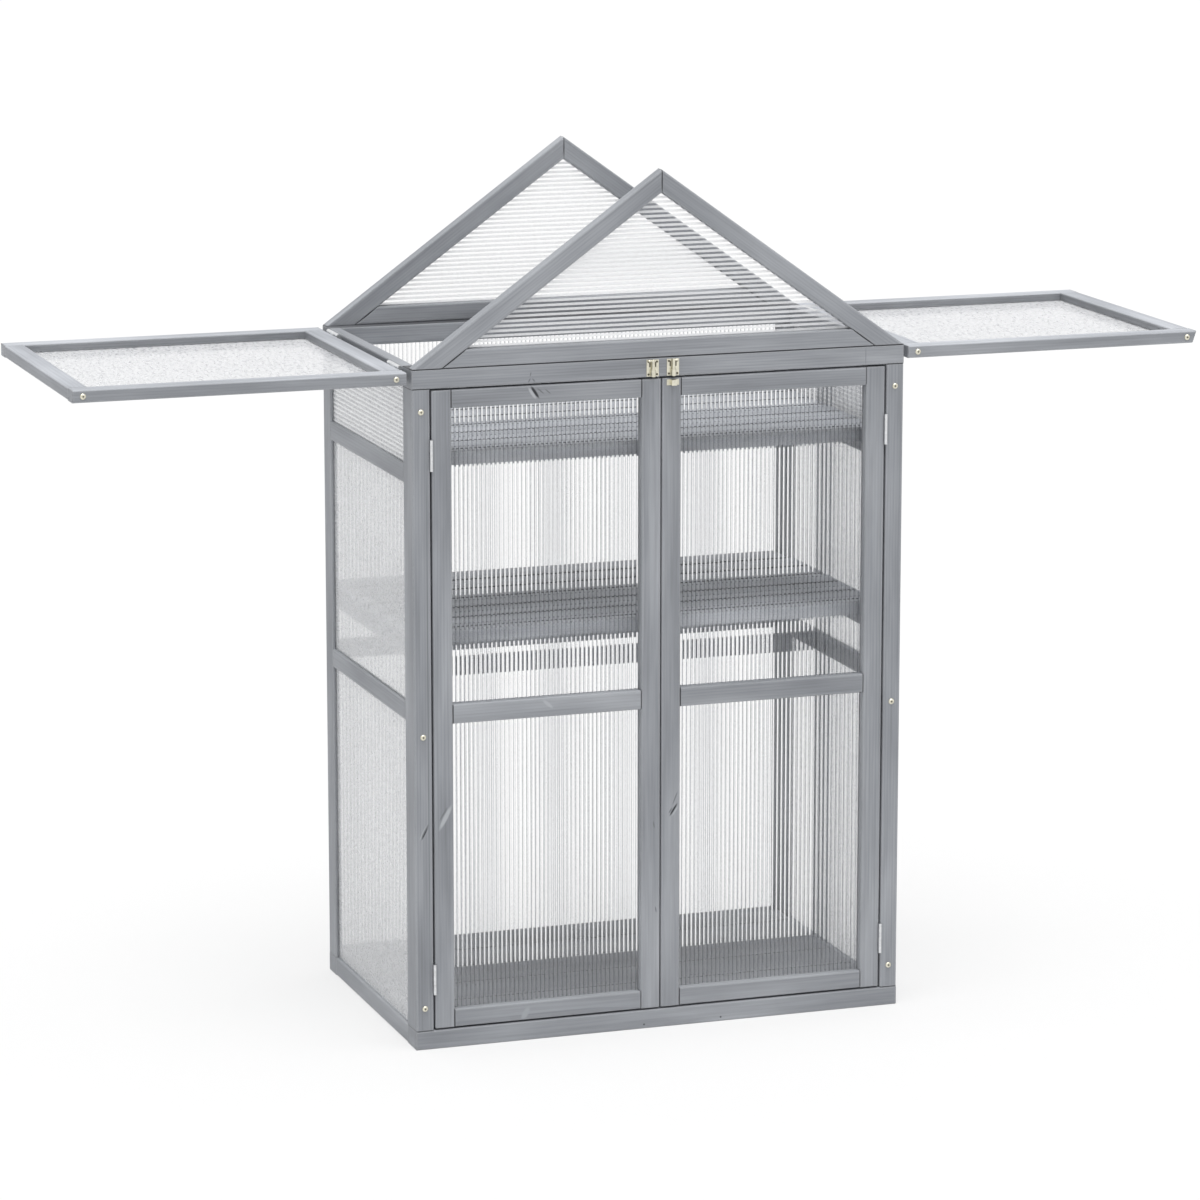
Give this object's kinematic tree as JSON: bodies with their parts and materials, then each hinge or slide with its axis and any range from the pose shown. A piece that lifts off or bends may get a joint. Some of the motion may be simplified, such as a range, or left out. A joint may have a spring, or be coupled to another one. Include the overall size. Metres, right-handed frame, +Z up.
{
  "type": "cold frame greenhouse",
  "caption": "Tall timber cold frame with a gable roof: clear hollow-sheet walls, slatted shelves inside, double doors at the front and roof flaps that swing over to the sides.",
  "frame": {"origin": "on the ground under the middle of the cabinet, halfway across its width and its depth", "axes": "+X to the right as seen from the doors, +Y to the back, +Z up"},
  "size_m": [1.8236, 0.5001, 1.354],
  "materials": {
    "grey_wood": "grey stained softwood, satin",
    "clear_sheet": "clear hollow sheet, gloss",
    "zinc_steel": "bright zinc plate",
    "passivated_steel": "pale yellow passivated zinc"
  },
  "bodies": {
    "carcass": {"back_gable_chord": "grey_wood", "back_gable_left_rafter": "grey_wood", "back_gable_right_rafter": "grey_wood", "back_gable_sheet": "clear_sheet", "back_sheets": "clear_sheet", "base_rail_back": "grey_wood", "base_rail_front": "grey_wood", "base_rail_left": "grey_wood", "base_rail_right": "grey_wood", "bolt_housings": "passivated_steel", "door_hinge_pins": "zinc_steel", "door_hinge_post_leaves": "zinc_steel", "eave_rail_left": "grey_wood", "eave_rail_right": "grey_wood", "floor_bearers": "grey_wood", "floor_boards": "grey_wood", "front_gable_chord": "grey_wood", "front_gable_left_rafter": "grey_wood", "front_gable_right_rafter": "grey_wood", "front_gable_sheet": "clear_sheet", "middle_rail_back": "grey_wood", "middle_shelf_battens": "grey_wood", "middle_shelf_slats": "grey_wood", "post_back_left": "grey_wood", "post_back_right": "grey_wood", "post_front_left": "grey_wood", "post_front_right": "grey_wood", "post_screws": "passivated_steel", "roof_hinge_eave_leaves": "zinc_steel", "roof_hinge_pins": "zinc_steel", "shelf_cleats": "grey_wood", "side_rails_left": "grey_wood", "side_rails_right": "grey_wood", "side_sheets_left": "clear_sheet", "side_sheets_right": "clear_sheet", "top_beam_back": "grey_wood", "top_beam_front": "grey_wood", "top_shelf_battens": "grey_wood", "top_shelf_slats": "grey_wood"},
    "left_door": {"left_door_hinge_leaves": "zinc_steel", "left_door_rails": "grey_wood", "left_door_sheets": "clear_sheet", "left_door_stiles": "grey_wood"},
    "right_door": {"right_door_hinge_leaves": "zinc_steel", "right_door_keeper": "passivated_steel", "right_door_rails": "grey_wood", "right_door_sheets": "clear_sheet", "right_door_stiles": "grey_wood"},
    "left_roof": {"left_roof_cross_rails": "grey_wood", "left_roof_hinge_leaves": "zinc_steel", "left_roof_rafters": "grey_wood", "left_roof_screws": "passivated_steel", "left_roof_sheet": "clear_sheet"},
    "right_roof": {"right_roof_cross_rails": "grey_wood", "right_roof_hinge_leaves": "zinc_steel", "right_roof_rafters": "grey_wood", "right_roof_screws": "passivated_steel", "right_roof_sheet": "clear_sheet"},
    "left_bolt": {"left_bolt": "passivated_steel"},
    "right_bolt": {"right_bolt": "passivated_steel"}
  },
  "joints": [
    {"name": "left_door_hinge", "type": "hinge", "parent": "carcass", "child": "left_door", "pos_m": [-0.3705, -0.2473, 0.523], "axis": [0, 0, -1], "range_deg": [0, 170]},
    {"name": "right_door_hinge", "type": "hinge", "parent": "carcass", "child": "right_door", "pos_m": [0.3705, -0.2473, 0.523], "axis": [0, 0, 1], "range_deg": [0, 170]},
    {"name": "left_roof_hinge", "type": "hinge", "parent": "carcass", "child": "left_roof", "pos_m": [-0.404, 0, 1.063], "axis": [0, 1, 0], "range_deg": [0, 144.25]},
    {"name": "right_roof_hinge", "type": "hinge", "parent": "carcass", "child": "right_roof", "pos_m": [0.404, 0, 1.063], "axis": [0, -1, 0], "range_deg": [0, 144.25]},
    {"name": "left_bolt_slide", "type": "slide", "parent": "carcass", "child": "left_bolt", "axis": [0, 0, -1], "range_m": [0, 0.012]},
    {"name": "right_bolt_slide", "type": "slide", "parent": "carcass", "child": "right_bolt", "axis": [0, 0, -1], "range_m": [0, 0.012]}
  ]
}
